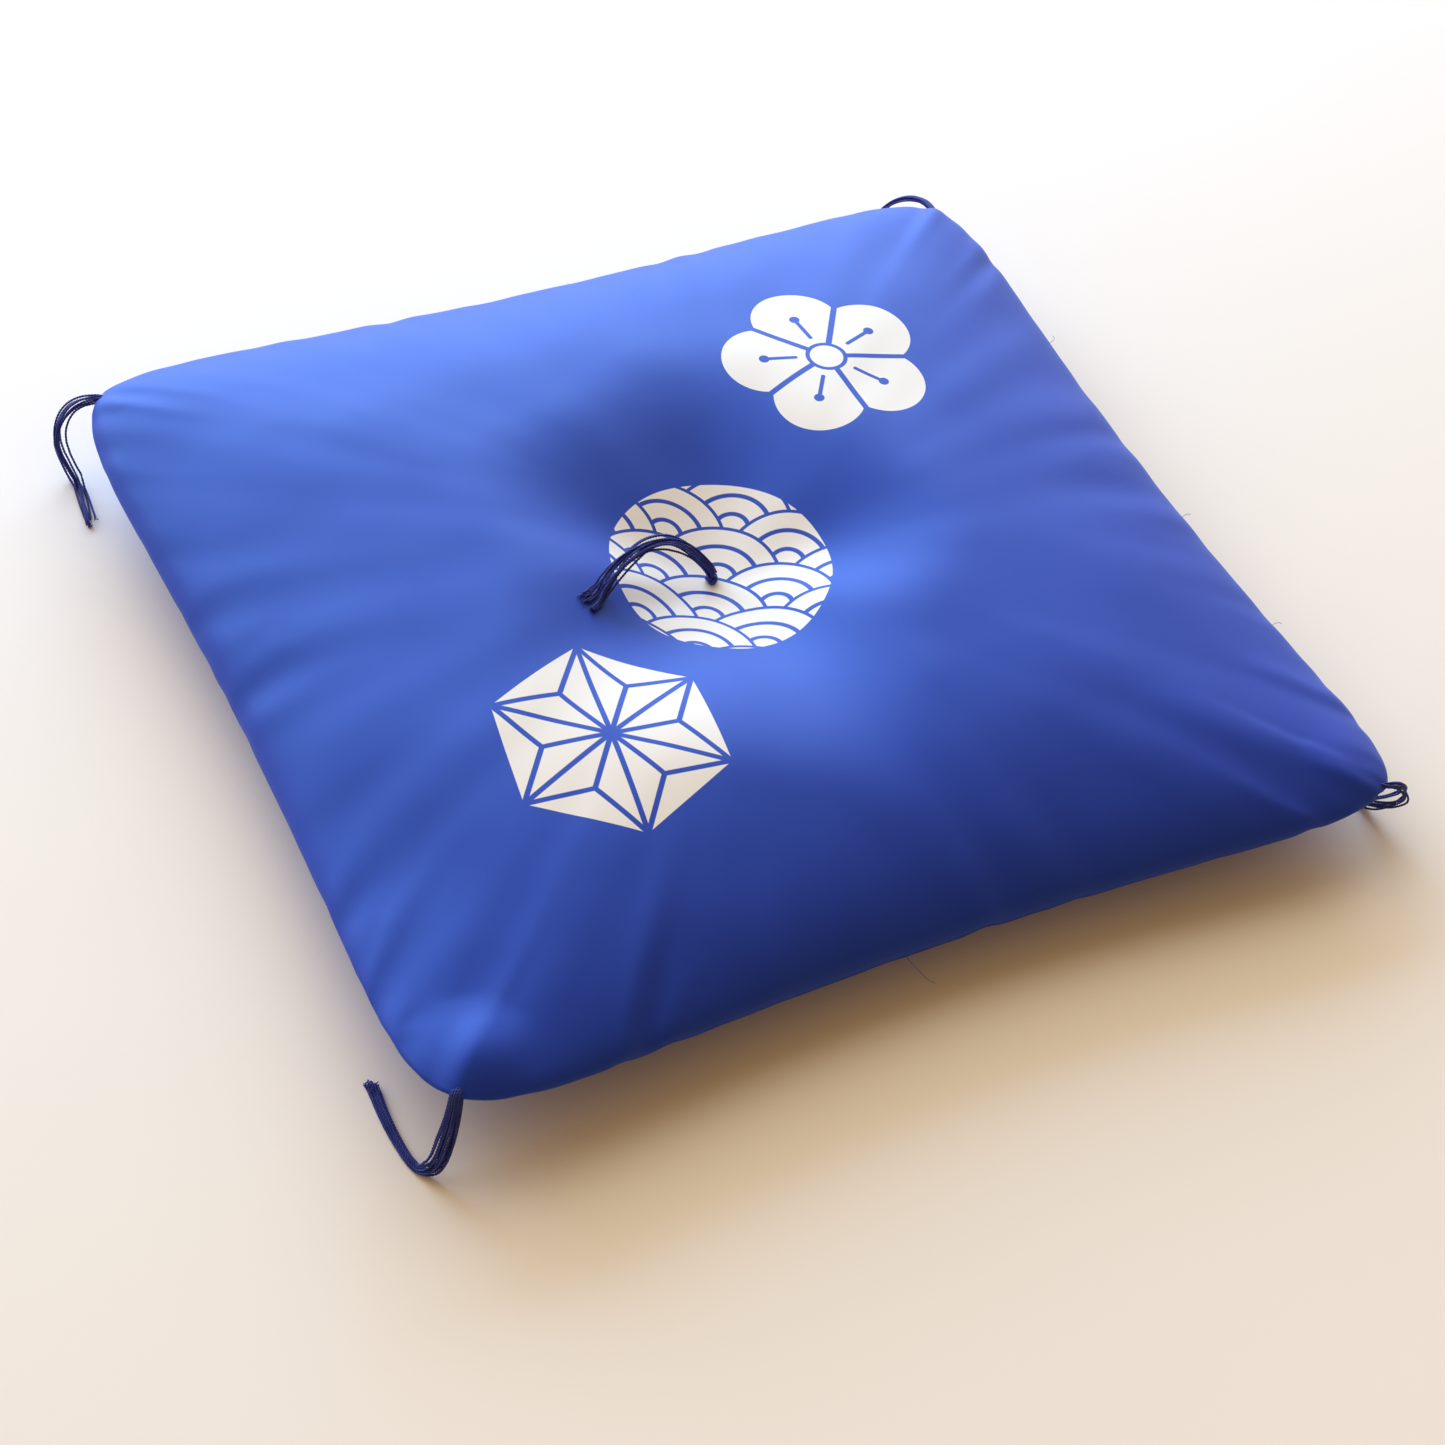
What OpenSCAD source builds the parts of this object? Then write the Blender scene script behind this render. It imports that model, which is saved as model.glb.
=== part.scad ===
// Floor cushion: two sewn panels over layered wadding, tied through the middle,
// with a thread tassel at the middle and one at each corner.
// Millimetres. +X runs from the left edge to the right edge, +Y from the front edge
// to the back edge, +Z up. The origin is on the floor, under the middle of the cover.

/* [Cushion] */
// Width over the left and right edges
cushion_w = 470; // [430:5:510]
// Depth over the front and back edges
cushion_d = 430; // [390:5:470]
// Height of the crown above the floor
crown_h = 60; // [54:1:70]
// Height of the seam above the floor, halfway along an edge
seam_h = 25; // [22:1:30]
// How far the left and right edges pull in at their middles
side_bow = 12; // [0:1:20]
// How far the front edge pulls in at its middle
front_bow = 18; // [0:1:24]
// How far the back edge pulls in at its middle
back_bow = 8; // [0:1:24]

/* [Fabric and sewing] */
// Thickness of the cover fabric
cloth_t = 0.8; // [0.6:0.1:1.2]
// Width of the seam allowance turned inside
allowance_w = 11; // [8:1:12]
// Width of the sewing thread
thread_w = 0.6; // [0.4:0.1:0.8]
// Length of the hand-sewn closing
closing_len = 100; // [60:5:120]
// Number of closing stitches
closing_count = 13; // [7:1:17]

/* [Centre tie] */
// Depth of the dimple in the top
top_dimple = 25; // [15:1:27]
// Depth of the dimple in the underside
under_dimple = 12; // [9:1:14]
// Radius of the tie between its knots
tie_r = 1.5; // [1:0.1:1.7]

/* [Tassels] */
// Width of a tassel's bundle of threads
tassel_w = 7; // [5:0.5:8]
// Thickness of a tassel's bundle of threads
tassel_t = 4.4; // [3:0.2:5]

/* [Hidden] */

royal_blue = [0.16, 0.25, 0.68];
navy = [0.11, 0.11, 0.34];
thread_blue = [0.18, 0.27, 0.70];
cotton = [0.93, 0.92, 0.88];

// Where the tie passes, a little off the middle because it is sewn by hand
tie_at = [-8, 2];
top_dimple_r = 125;
under_dimple_r = 70;
tie_hole_r = tie_r + 0.7;

// Outline: samples on the rim of a unit square, numbered from the front left corner
// and going front, right, back, left. They crowd together towards the corners.
side_count = 16;
rim_count = 4 * side_count;
FRONT_LEFT = 0;
FRONT_RIGHT = side_count;
BACK_RIGHT = 2 * side_count;
BACK_LEFT = 3 * side_count;
corner_power = 8.5;
corner_rises = [12, 7, 9, 8];

function along(i) = -cos(180 * (i % side_count) / side_count);
function rim(i) =
    i < FRONT_RIGHT ? [along(i), -1] :
    i < BACK_RIGHT ? [1, along(i)] :
    i < BACK_LEFT ? [-along(i), 1] : [-1, -along(i)];
function corner_of(p) = p.y < 0 ? (p.x < 0 ? 0 : 1) : (p.x > 0 ? 2 : 3);
function round_off(p) =
    pow(pow(abs(p.x), corner_power) + pow(abs(p.y), corner_power), -1 / corner_power);
function pulled(p) = let (
    side = side_bow / (cushion_w / 2),
    end = (p.y < 0 ? front_bow : back_bow) / (cushion_d / 2))
    round_off(p) * [p.x * (1 - side * (1 - p.y * p.y)), p.y * (1 - end * (1 - p.x * p.x))];

raw_edge = [for (i = [0:rim_count - 1]) pulled(rim(i))];
reach_x = max([for (p = raw_edge) p.x]);
reach_back = max([for (p = raw_edge) p.y]);
reach_front = min([for (p = raw_edge) p.y]);
edge = [for (p = raw_edge) [
    p.x / reach_x * cushion_w / 2,
    (p.y - (reach_back + reach_front) / 2) / (reach_back - reach_front) * cushion_d]];
seam_z = [for (i = [0:rim_count - 1])
    let (p = rim(i)) seam_h + corner_rises[corner_of(p)] * pow(p.x * p.y, 2)];

// The seam opens to let a tassel out: half its opening at a corner and one sample away
neck_open = [2, 0.9];
function from_corner(i) = min(i % side_count, side_count - i % side_count);
function opening(i) = from_corner(i) < len(neck_open) ? neck_open[from_corner(i)] : 0;

// Heights of the skins, s = 0 at the tie and 1 at the edge, inset by depth under the fabric
crown_power = 3.3;
crown_round = 0.48;
flat_share = 0.8;
hem_power = 2.4;
function dimple(depth, radius, r) = r < radius ? depth * pow(1 - pow(r / radius, 2), 2) : 0;
function spoke(i) = norm(edge[i] - tie_at);
function top_z(s, i, depth) = let (foot = seam_z[i] + opening(i))
    foot + (crown_h - depth - foot) * pow(1 - pow(s, crown_power), crown_round)
    - dimple(top_dimple, top_dimple_r, spoke(i) * s);
function under_z(s, i, depth) = let (
    foot = seam_z[i] - opening(i),
    q = max(0, (s - flat_share) / (1 - flat_share)))
    foot - (foot - depth) * sqrt(1 - pow(q, hem_power))
    + dimple(under_dimple, under_dimple_r, spoke(i) * s);
function at(s, i, depth, z) = let (p = tie_at + (edge[i] - tie_at) * s * (1 - depth / spoke(i)))
    [p.x, p.y, z];

// Rings of points round the cushion
rim_ids = [0:rim_count - 1];
hole_s = tie_hole_r / (cushion_w / 2);
function top_ring(s, depth) = [for (i = rim_ids) at(s, i, depth, top_z(s, i, depth))];
function under_ring(s, depth) = [for (i = rim_ids) at(s, i, depth, under_z(s, i, depth))];
function top_hem_ring(inset, lift) =
    [for (i = rim_ids) at(1, i, inset, seam_z[i] + opening(i) + lift)];
function under_hem_ring(inset, lift) =
    [for (i = rim_ids) at(1, i, inset, seam_z[i] - opening(i) - lift)];
function backwards(list) = [for (i = [len(list) - 1:-1:0]) list[i]];

// A closed band: rings joined one to the next, and the last back to the first.
// Its rings run outwards over the top of the band and back under it.
module band(rings) {
    n = len(rings[0]);
    m = len(rings);
    polyhedron(
        points = [for (ring = rings) each ring],
        faces = [for (k = [0:m - 1], i = [0:n - 1]) let (
            a = k * n + i,
            b = k * n + (i + 1) % n,
            c = (k + 1) % m * n + (i + 1) % n,
            d = (k + 1) % m * n + i)
            each [[a, b, c], [a, c, d]]],
        convexity = 6);
}

// Cover panels, each with its seam allowance turned inside
top_steps = [hole_s, 0.05, 0.11, 0.18, 0.26, 0.35, 0.45, 0.56, 0.67, 0.78, 0.87, 0.93, 0.965, 0.987];
under_steps = [hole_s, 0.05, 0.11, 0.18, 0.26, 0.35, 0.6, 0.8, 0.86, 0.91, 0.95, 0.98, 0.995];

module top_cover() {
    color(royal_blue)
        band(concat(
            [for (s = top_steps) top_ring(s, 0)],
            [top_hem_ring(0, 0), top_hem_ring(allowance_w, 0)],
            [top_hem_ring(allowance_w, cloth_t), top_hem_ring(cloth_t, cloth_t)],
            [for (s = backwards(top_steps)) top_ring(s, cloth_t)]));
}

module bottom_cover() {
    color(royal_blue)
        band(backwards(concat(
            [for (s = under_steps) under_ring(s, 0)],
            [under_hem_ring(0, 0), under_hem_ring(allowance_w, 0)],
            [under_hem_ring(allowance_w, cloth_t), under_hem_ring(cloth_t, cloth_t)],
            [for (s = backwards(under_steps)) under_ring(s, cloth_t)])));
}

// Edge seam: one thread lies along each side of the two turned-in allowances
stitch_line = 2.5;
thread_gap = 0.05;
thread_t = 0.4;

module seam_needle_thread() {
    color(thread_blue)
        band([
            top_hem_ring(stitch_line + thread_w, cloth_t + thread_gap + thread_t),
            top_hem_ring(stitch_line, cloth_t + thread_gap + thread_t),
            top_hem_ring(stitch_line, cloth_t + thread_gap),
            top_hem_ring(stitch_line + thread_w, cloth_t + thread_gap)]);
}

module seam_bobbin_thread() {
    color(thread_blue)
        band([
            under_hem_ring(stitch_line + thread_w, cloth_t + thread_gap),
            under_hem_ring(stitch_line, cloth_t + thread_gap),
            under_hem_ring(stitch_line, cloth_t + thread_gap + thread_t),
            under_hem_ring(stitch_line + thread_w, cloth_t + thread_gap + thread_t)]);
}

// Closing stitches, over the stuffing gap in the right edge
closing_y = 68;
closing_stitch_len = 3.4;
closing_slant = 20;
right_side = [FRONT_RIGHT:BACK_RIGHT];
right_x = [for (i = right_side) [edge[i].y, edge[i].x]];
right_z = [for (i = right_side) [edge[i].y, seam_z[i]]];

module closing_stitches() {
    radius = thread_w / 2;
    color(thread_blue)
        for (k = [0:closing_count - 1]) {
            y = closing_y + closing_len * (k / (closing_count - 1) - 0.5);
            translate([lookup(y, right_x) + radius + 0.1, y, lookup(y, right_z)])
                rotate([closing_slant, 0, 0])
                    cylinder(r = radius, h = closing_stitch_len, center = true, $fn = 24);
        }
}

// Wadding: two full sheets that part round the hem, and a smaller pad between them
wadding_gap = 0.5;
wadding_depth = cloth_t + wadding_gap;
wadding_steps = [hole_s, 0.11, 0.26, 0.45, 0.58, 0.74, 0.86, 0.93, 0.965, 0.987];
pad_steps = [hole_s, 0.11, 0.26, 0.45, 0.58];
pad_share = 0.62;
pad_t = 8;
layer_gap = 0.2;
hem_room = 4.6;
lower_share = 0.42;

function blend(from, to, t) = from + (to - from) * max(0, min(1, t));
function parting(s) = blend(layer_gap, hem_room, (s - 0.86) / 0.06);
function pad_half(s) = pad_t / 2 * max(0, 1 - pow(s / pad_share, 2));
function middle_z(s, i) = blend(
    blend(under_z(s, i, wadding_depth), top_z(s, i, wadding_depth), lower_share),
    seam_z[i], (s - 0.3) / 0.5);
function middle_ring(s, lift) =
    [for (i = rim_ids) at(s, i, wadding_depth, middle_z(s, i) + lift)];

module wadding_upper() {
    color(cotton)
        band(concat(
            [for (s = wadding_steps) top_ring(s, wadding_depth)],
            [for (s = backwards(wadding_steps)) middle_ring(s, pad_half(s) + parting(s))]));
}

module wadding_centre_pad() {
    color(cotton)
        band(concat(
            [for (s = pad_steps) middle_ring(s, pad_half(s))],
            [for (s = backwards(pad_steps)) middle_ring(s, -pad_half(s))]));
}

module wadding_lower() {
    color(cotton)
        band(concat(
            [for (s = wadding_steps) middle_ring(s, -pad_half(s) - parting(s))],
            [for (s = backwards(wadding_steps)) under_ring(s, wadding_depth)]));
}

// Knots: a ball with two flat ends, standing on its lower end
knot_r = 3.2;
knot_h = 4.4;
knot_gap = 0.1;
top_knot_z = crown_h - top_dimple + knot_gap;
under_knot_z = under_dimple - knot_gap - knot_h;

module knot() {
    intersection() {
        translate([0, 0, knot_h / 2])
            sphere(r = knot_r, $fn = 48);
        translate([-knot_r, -knot_r, 0])
            cube([2 * knot_r, 2 * knot_r, knot_h]);
    }
}

module centre_knot() {
    color(navy)
        translate([tie_at.x, tie_at.y, top_knot_z])
            knot();
}

module underside_knot() {
    color(navy)
        translate([tie_at.x, tie_at.y, under_knot_z])
            knot();
}

module centre_tie() {
    foot = under_knot_z + knot_h;
    color(navy)
        translate([tie_at.x, tie_at.y, foot])
            cylinder(r = tie_r, h = top_knot_z - foot, $fn = 48);
}

// A corner knot lies inside the hem, with its flat ends along the corner's own line
knot_inset = 13.6;
function inward(i) = (tie_at - edge[i]) / spoke(i);
module corner_knot(i) {
    p = edge[i] + inward(i) * knot_inset;
    color(navy)
        translate([p.x, p.y, seam_z[i]])
            rotate([0, 90, atan2(inward(i).y, inward(i).x)])
                knot();
}

module corner_knot_front_left() corner_knot(FRONT_LEFT);
module corner_knot_front_right() corner_knot(FRONT_RIGHT);
module corner_knot_back_right() corner_knot(BACK_RIGHT);
module corner_knot_back_left() corner_knot(BACK_LEFT);

// Tassels: a flat bundle that narrows to a neck where it leaves the cover.
// A route's points are [x, y, share]: x and y from the corner's tip, and the share of
// the way up from lying on the floor to the tip's own height.
front_left_route = [
    [4, 3.5, 1], [0, 0, 1], [-1.5, -2, 0.86], [-3, -4, 0.7], [-4.5, -5.5, 0.54],
    [-6.5, -7, 0.37], [-9, -8.5, 0.21], [-12, -8.5, 0.08], [-15, -5.5, 0.02],
    [-17, 0, 0], [-18, 7, 0], [-18.5, 15, 0], [-18.5, 23, 0], [-18, 31, 0], [-17.5, 40, 0]];
front_right_route = [
    [-4, 3.5, 1], [0, 0, 1], [4.5, -1.5, 0.99], [8.5, -2, 0.92], [11.5, -2, 0.78],
    [13.5, -1.5, 0.61], [14, 0.5, 0.44], [13, 3, 0.28], [11, 6.5, 0.14], [9, 11, 0.04],
    [7.5, 17, 0], [6.5, 24, 0], [6, 31, 0], [5.5, 38, 0], [5, 45, 0]];
back_right_route = [
    [-4, -3.5, 1], [0, 0, 1], [1, 5.5, 0.98], [0.5, 11, 0.95], [-1.5, 16, 0.89],
    [-4.5, 20.5, 0.79], [-8.5, 23.5, 0.66], [-13, 24.5, 0.51], [-17, 24, 0.37],
    [-20.5, 22.5, 0.24], [-24, 20.5, 0.13], [-28.5, 18.5, 0.05], [-34, 17, 0],
    [-40.5, 16, 0], [-47, 15.5, 0]];
back_left_route = [
    [4, -3.5, 1], [0, 0, 1], [-5, 1, 1], [-10, 1.5, 0.97], [-15, 1, 0.88],
    [-19, -1, 0.73], [-21, -4, 0.56], [-21, -7.5, 0.39], [-19.5, -11, 0.23],
    [-18, -15, 0.1], [-17, -20, 0.02], [-17.5, -26, 0], [-18.5, -33, 0], [-19.5, -40, 0],
    [-20, -46, 0]];
// The centre tassel's points are [x, y, z]: x and y from the tie, z from its knot's top
centre_route = [
    [0, 0, 0], [-2, 1.5, 4], [-5.5, 3.5, 8.5], [-9.5, 5.5, 13], [-14.5, 7.5, 17],
    [-20, 9, 19.5], [-26, 9.5, 20.5], [-32, 9, 20.5], [-38, 7.5, 19.5], [-44, 5.5, 18],
    [-50, 2.5, 16], [-55, -0.5, 14], [-60, -3.5, 12.5], [-64, -6, 11.5], [-68, -8, 11]];

tube_sides = 8;
neck_r = 1.6;
neck_share = [0, 0.15, 0.5, 0.8];
lying_z = tassel_t / 2;

function unit(v) = v / norm(v);
function heading(route, k) =
    unit(route[min(k + 1, len(route) - 1)] - route[max(k - 1, 0)]);
function widening(k) = k < len(neck_share) ? neck_share[k] : 1;
// Ring k of a tube: an oval across the route, wide along the direction across
function tube_ring(route, k, across) = let (
    t = heading(route, k),
    thin = unit(cross(t, across)),
    wide = cross(thin, t),
    w = blend(neck_r, tassel_w / 2, widening(k)),
    h = blend(neck_r, tassel_t / 2, widening(k)))
    [for (j = [0:tube_sides - 1]) let (a = 360 * (j + 0.5) / tube_sides)
        route[k] + w * cos(a) * wide + h * sin(a) * thin];

module tube(route, across) {
    last = len(route) - 1;
    n = tube_sides;
    polyhedron(
        points = [for (k = [0:last]) each tube_ring(route, k, across)],
        faces = concat(
            [[for (j = [0:n - 1]) j]],
            [for (k = [0:last - 1], j = [0:n - 1]) let (
                a = k * n + j,
                b = k * n + (j + 1) % n)
                each [[a, b + n, b], [a, a + n, b + n]]],
            [[for (j = [n - 1:-1:0]) last * n + j]]),
        convexity = 4);
}

function corner_point(i, p) =
    [edge[i].x + p.x, edge[i].y + p.y, lying_z + p.z * (seam_z[i] - lying_z)];
function knot_face(i) = let (p = edge[i] + inward(i) * knot_inset) [p.x, p.y, seam_z[i]];
module corner_tassel(i, route, across) {
    color(navy)
        tube(concat([knot_face(i)], [for (p = route) corner_point(i, p)]), across);
}

module tassel_front_left() corner_tassel(FRONT_LEFT, front_left_route, [1, -0.3, 0]);
module tassel_front_right() corner_tassel(FRONT_RIGHT, front_right_route, [0.8, 0.6, 0]);
module tassel_back_right() corner_tassel(BACK_RIGHT, back_right_route, [1, 0.3, 0]);
module tassel_back_left() corner_tassel(BACK_LEFT, back_left_route, [0.6, 0.8, 0]);

module centre_tassel() {
    base = [tie_at.x, tie_at.y, top_knot_z + knot_h];
    color(navy)
        tube([for (p = centre_route) base + p], [0.1, 1, 0]);
}

bottom_cover();
top_cover();
seam_bobbin_thread();
seam_needle_thread();
closing_stitches();
wadding_lower();
wadding_centre_pad();
wadding_upper();
centre_tie();
underside_knot();
centre_knot();
centre_tassel();
corner_knot_front_left();
corner_knot_front_right();
corner_knot_back_right();
corner_knot_back_left();
tassel_front_left();
tassel_front_right();
tassel_back_right();
tassel_back_left();
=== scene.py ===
"""Looks of the floor cushion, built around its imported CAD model.

Metres, in the model's own frame: +X to the right edge, +Y to the back edge, +Z up, with the
floor at z = 0. The cover is cut flat, pulled onto the wadding by a cloth simulation and pinned
where the tie and the corners hold it. Threads, knots and tassels are swept strand by strand.
"""
import math

import bpy
import numpy as np
from mathutils import Matrix, Vector, noise
from mathutils.bvhtree import BVHTree


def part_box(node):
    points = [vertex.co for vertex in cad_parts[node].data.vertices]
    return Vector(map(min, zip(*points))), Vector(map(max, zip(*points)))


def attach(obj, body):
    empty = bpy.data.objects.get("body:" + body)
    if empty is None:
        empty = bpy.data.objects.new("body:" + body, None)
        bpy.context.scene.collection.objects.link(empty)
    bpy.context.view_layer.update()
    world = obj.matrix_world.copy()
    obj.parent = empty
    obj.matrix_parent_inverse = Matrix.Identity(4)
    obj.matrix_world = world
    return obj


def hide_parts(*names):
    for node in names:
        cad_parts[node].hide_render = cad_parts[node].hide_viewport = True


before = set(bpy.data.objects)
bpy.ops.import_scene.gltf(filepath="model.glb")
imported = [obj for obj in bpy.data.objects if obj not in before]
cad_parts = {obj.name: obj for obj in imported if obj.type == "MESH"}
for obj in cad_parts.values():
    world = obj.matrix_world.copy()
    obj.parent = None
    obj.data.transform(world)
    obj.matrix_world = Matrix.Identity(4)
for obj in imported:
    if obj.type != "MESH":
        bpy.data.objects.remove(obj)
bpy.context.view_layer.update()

MM = 0.001
ROOT = "root"
TAU = 2 * math.pi

# ---- camera

CAMERA_TARGET = (-0.0227, -0.0487, 0.0)
CAMERA_DISTANCE = 1.254
CAMERA_AZIMUTH = math.radians(-35.8)
CAMERA_ELEVATION = math.radians(48.3)
CAMERA_ROLL = math.radians(11.8)
CAMERA_LENS = 70.3
SENSOR_WIDTH = 36


def make_camera():
    """The camera looks down on the cushion from beyond its front left corner."""
    data = bpy.data.cameras.new("camera")
    data.lens = CAMERA_LENS
    data.sensor_width = SENSOR_WIDTH
    data.clip_start = 0.05
    camera = bpy.data.objects.new("camera", data)
    bpy.context.scene.collection.objects.link(camera)
    level = math.cos(CAMERA_ELEVATION)
    back = Vector((
        math.sin(CAMERA_AZIMUTH) * level,
        -math.cos(CAMERA_AZIMUTH) * level,
        math.sin(CAMERA_ELEVATION)))
    side = Vector((math.cos(CAMERA_AZIMUTH), math.sin(CAMERA_AZIMUTH), 0))
    up = back.cross(side)
    right = side * math.cos(CAMERA_ROLL) + up * math.sin(CAMERA_ROLL)
    up = back.cross(right)
    place = Matrix.Translation(Vector(CAMERA_TARGET) + back * CAMERA_DISTANCE)
    camera.matrix_world = place @ Matrix((right, up, back)).transposed().to_4x4()
    bpy.context.scene.camera = camera


# ---- places in the frame

COVER_LOW, COVER_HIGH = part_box("top_cover")
WIDTH = COVER_HIGH.x - COVER_LOW.x
DEPTH = COVER_HIGH.y - COVER_LOW.y
CORNERS = ("front_left", "front_right", "back_right", "back_left")
KNOT_INSET = 13.6 * MM
LYING = 2.2 * MM


def middle(node):
    """The middle of a CAD node's box."""
    low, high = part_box(node)
    return (low + high) / 2


TIE = middle("centre_tie")
CENTRE_KNOT_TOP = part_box("centre_knot")[1].z


def corner_tip(corner):
    """Where a tassel leaves the cover: outwards from its corner knot, away from the tie."""
    knot = middle("corner_knot_" + corner)
    outward = Vector((knot.x - TIE.x, knot.y - TIE.y, 0)).normalized()
    return knot + outward * KNOT_INSET


# ---- small tools

def link_mesh(name, points, faces, material):
    """A smooth mesh piece that rides on the root body."""
    mesh = bpy.data.meshes.new(name)
    mesh.from_pydata(np.asarray(points).tolist(), [], [list(map(int, face)) for face in faces])
    mesh.polygons.foreach_set("use_smooth", [True] * len(mesh.polygons))
    mesh.materials.append(material)
    piece = bpy.data.objects.new(name, mesh)
    bpy.context.scene.collection.objects.link(piece)
    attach(piece, ROOT)
    return piece


def unit(vectors):
    """Vectors of length 1, row by row."""
    return vectors / np.maximum(np.linalg.norm(vectors, axis=-1, keepdims=True), 1e-12)


def arc_lengths(points):
    """The distance along a line of points, from its first one."""
    steps = np.linalg.norm(np.diff(points, axis=0), axis=1)
    return np.concatenate([[0], np.cumsum(steps)])


def smooth_path(points, step):
    """Points an even step apart on a Catmull-Rom curve through the given ones."""
    points = np.asarray(points, float)
    ends = [2 * points[0] - points[1]], [2 * points[-1] - points[-2]]
    known = np.concatenate([ends[0], points, ends[1]])
    t = np.linspace(0, 1, 12, endpoint=False)[:, None]
    curve = []
    for a, b, c, d in zip(known, known[1:], known[2:], known[3:]):
        curve.append(0.5 * (
            2 * b + (c - a) * t + (2 * a - 5 * b + 4 * c - d) * t ** 2
            + (3 * b - a - 3 * c + d) * t ** 3))
    curve = np.concatenate(curve + [known[-2:-1]])
    along = arc_lengths(curve)
    places = np.linspace(0, along[-1], max(4, round(along[-1] / step)))
    return np.stack([np.interp(places, along, curve[:, k]) for k in range(3)], axis=1)


def frames_along(path, across):
    """Unit vectors along, across and out of a path, turned as little as possible."""
    along = unit(np.gradient(path, axis=0))
    side = np.empty_like(path)
    current = np.asarray(across, float)
    for k, direction in enumerate(along):
        current = current - direction * current.dot(direction)
        current = current / max(np.linalg.norm(current), 1e-9)
        side[k] = current
    return along, side, np.cross(along, side)


class Strands:
    """Collects swept threads into the points and faces of one mesh."""

    def __init__(self):
        self.points = []
        self.faces = []
        self.count = 0

    def tube(self, path, radii, sides=5, closed=False):
        """A round thread along a path. A thread that isn't closed gets two end caps."""
        _, side, out = frames_along(path, (0.31, 0.52, 0.79))
        angles = np.arange(sides) * TAU / sides
        circle = (
            side[:, None] * np.cos(angles)[None, :, None]
            + out[:, None] * np.sin(angles)[None, :, None])
        radii = np.broadcast_to(radii, len(path))[:, None, None]
        self.points.append((path[:, None] + circle * radii).reshape(-1, 3))
        rings = len(path)
        spans = rings if closed else rings - 1
        for ring in range(spans):
            here = self.count + ring * sides
            there = self.count + (ring + 1) % rings * sides
            for k in range(sides):
                after = (k + 1) % sides
                self.faces.append((here + k, here + after, there + after, there + k))
        if not closed:
            last = self.count + (rings - 1) * sides
            self.faces.append(tuple(self.count + k for k in reversed(range(sides))))
            self.faces.append(tuple(last + k for k in range(sides)))
        self.count += rings * sides

    def twisted(self, path, radius, pitch, phase, fray=0.0):
        """Two plies wound round each other. They open over the last stretch, called fray."""
        along = arc_lengths(path)
        _, side, out = frames_along(path, (0.31, 0.52, 0.79))
        left = along[-1] - along
        opening = np.clip(1 - left / fray, 0, 1) if fray > 0 else np.zeros(len(path))
        reach = (0.46 + 1.1 * opening ** 2) * radius
        angle = phase + TAU * along / pitch
        taper = 1 - 0.35 * opening
        for half in (0, math.pi):
            turn = (
                side * np.cos(angle + half)[:, None] + out * np.sin(angle + half)[:, None])
            self.tube(path + turn * reach[:, None], 0.58 * radius * taper)

    def piece(self, name, material, slot):
        """The collected threads as one piece."""
        return link_mesh(name, np.concatenate(self.points), self.faces, material)


# ---- node fields

class Field:
    """A number that varies over a surface, written with ordinary operators."""

    def __init__(self, tree, socket):
        self.tree = tree
        self.socket = socket

    def apply(self, operation, *others):
        """A maths node of this field and the others."""
        node = self.tree.nodes.new("ShaderNodeMath")
        node.operation = operation
        for k, value in enumerate((self,) + others):
            if isinstance(value, Field):
                self.tree.links.new(value.socket, node.inputs[k])
            else:
                node.inputs[k].default_value = value
        return Field(self.tree, node.outputs[0])

    def __add__(self, other):
        return self.apply("ADD", other)

    def __sub__(self, other):
        return self.apply("SUBTRACT", other)

    def __mul__(self, other):
        return self.apply("MULTIPLY", other)

    def __truediv__(self, other):
        return self.apply("DIVIDE", other)

    def __neg__(self):
        return self * -1.0

    def least(self, other):
        return self.apply("MINIMUM", other)

    def most(self, other):
        return self.apply("MAXIMUM", other)

    def size(self):
        return self.apply("ABSOLUTE")

    def sine(self):
        return self.apply("SINE")

    def cosine(self):
        return self.apply("COSINE")


def long_side(x, y):
    """The distance of (x, y) from the origin."""
    return (x * x + y * y).apply("SQRT")


def turned(x, y, angle):
    """Coordinates in axes turned by a fixed angle."""
    c, s = math.cos(angle), math.sin(angle)
    return x * c + y * s, y * c - x * s


def folded(x, y, count):
    """Coordinates folded into the first of count equal sectors, with y up or down from its axis."""
    sector = TAU / count
    angle = y.apply("ARCTAN2", x)
    angle = (angle + sector / 2).apply("FLOORED_MODULO", sector) - sector / 2
    distance = long_side(x, y)
    return distance * angle.cosine(), distance * angle.sine()


def ink(inside, soft=0.3 * MM):
    """1 where a signed distance is inside the print and 0 outside, over a soft edge."""
    share = (inside / soft + 0.5).most(0.0)
    return share.least(1.0)


def off_line(x, y, start, end):
    """The distance from a straight line between two fixed points."""
    dx, dy = end[0] - start[0], end[1] - start[1]
    run = dx * dx + dy * dy
    share = (((x - start[0]) * dx + (y - start[1]) * dy) / run).most(0.0).least(1.0)
    return long_side(x - start[0] - share * dx, y - start[1] - share * dy)


def new_material(name):
    """A node material, its tree and its shader."""
    material = bpy.data.materials.new(name)
    material.use_nodes = True
    tree = material.node_tree
    return material, tree, tree.nodes["Principled BSDF"]


def add_node(tree, kind, settings=None, **inputs):
    """A node with its settings and its unlinked or linked inputs."""
    node = tree.nodes.new(kind)
    for key, value in (settings or {}).items():
        setattr(node, key, value)
    for key, value in inputs.items():
        put(tree, node.inputs[key.replace("_", " ")], value)
    return node


def put(tree, socket, value):
    """Links a field or a socket to an input, or sets a plain value on it."""
    if isinstance(value, Field):
        tree.links.new(value.socket, socket)
    elif isinstance(value, bpy.types.NodeSocket):
        tree.links.new(value, socket)
    else:
        socket.default_value = value


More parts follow.
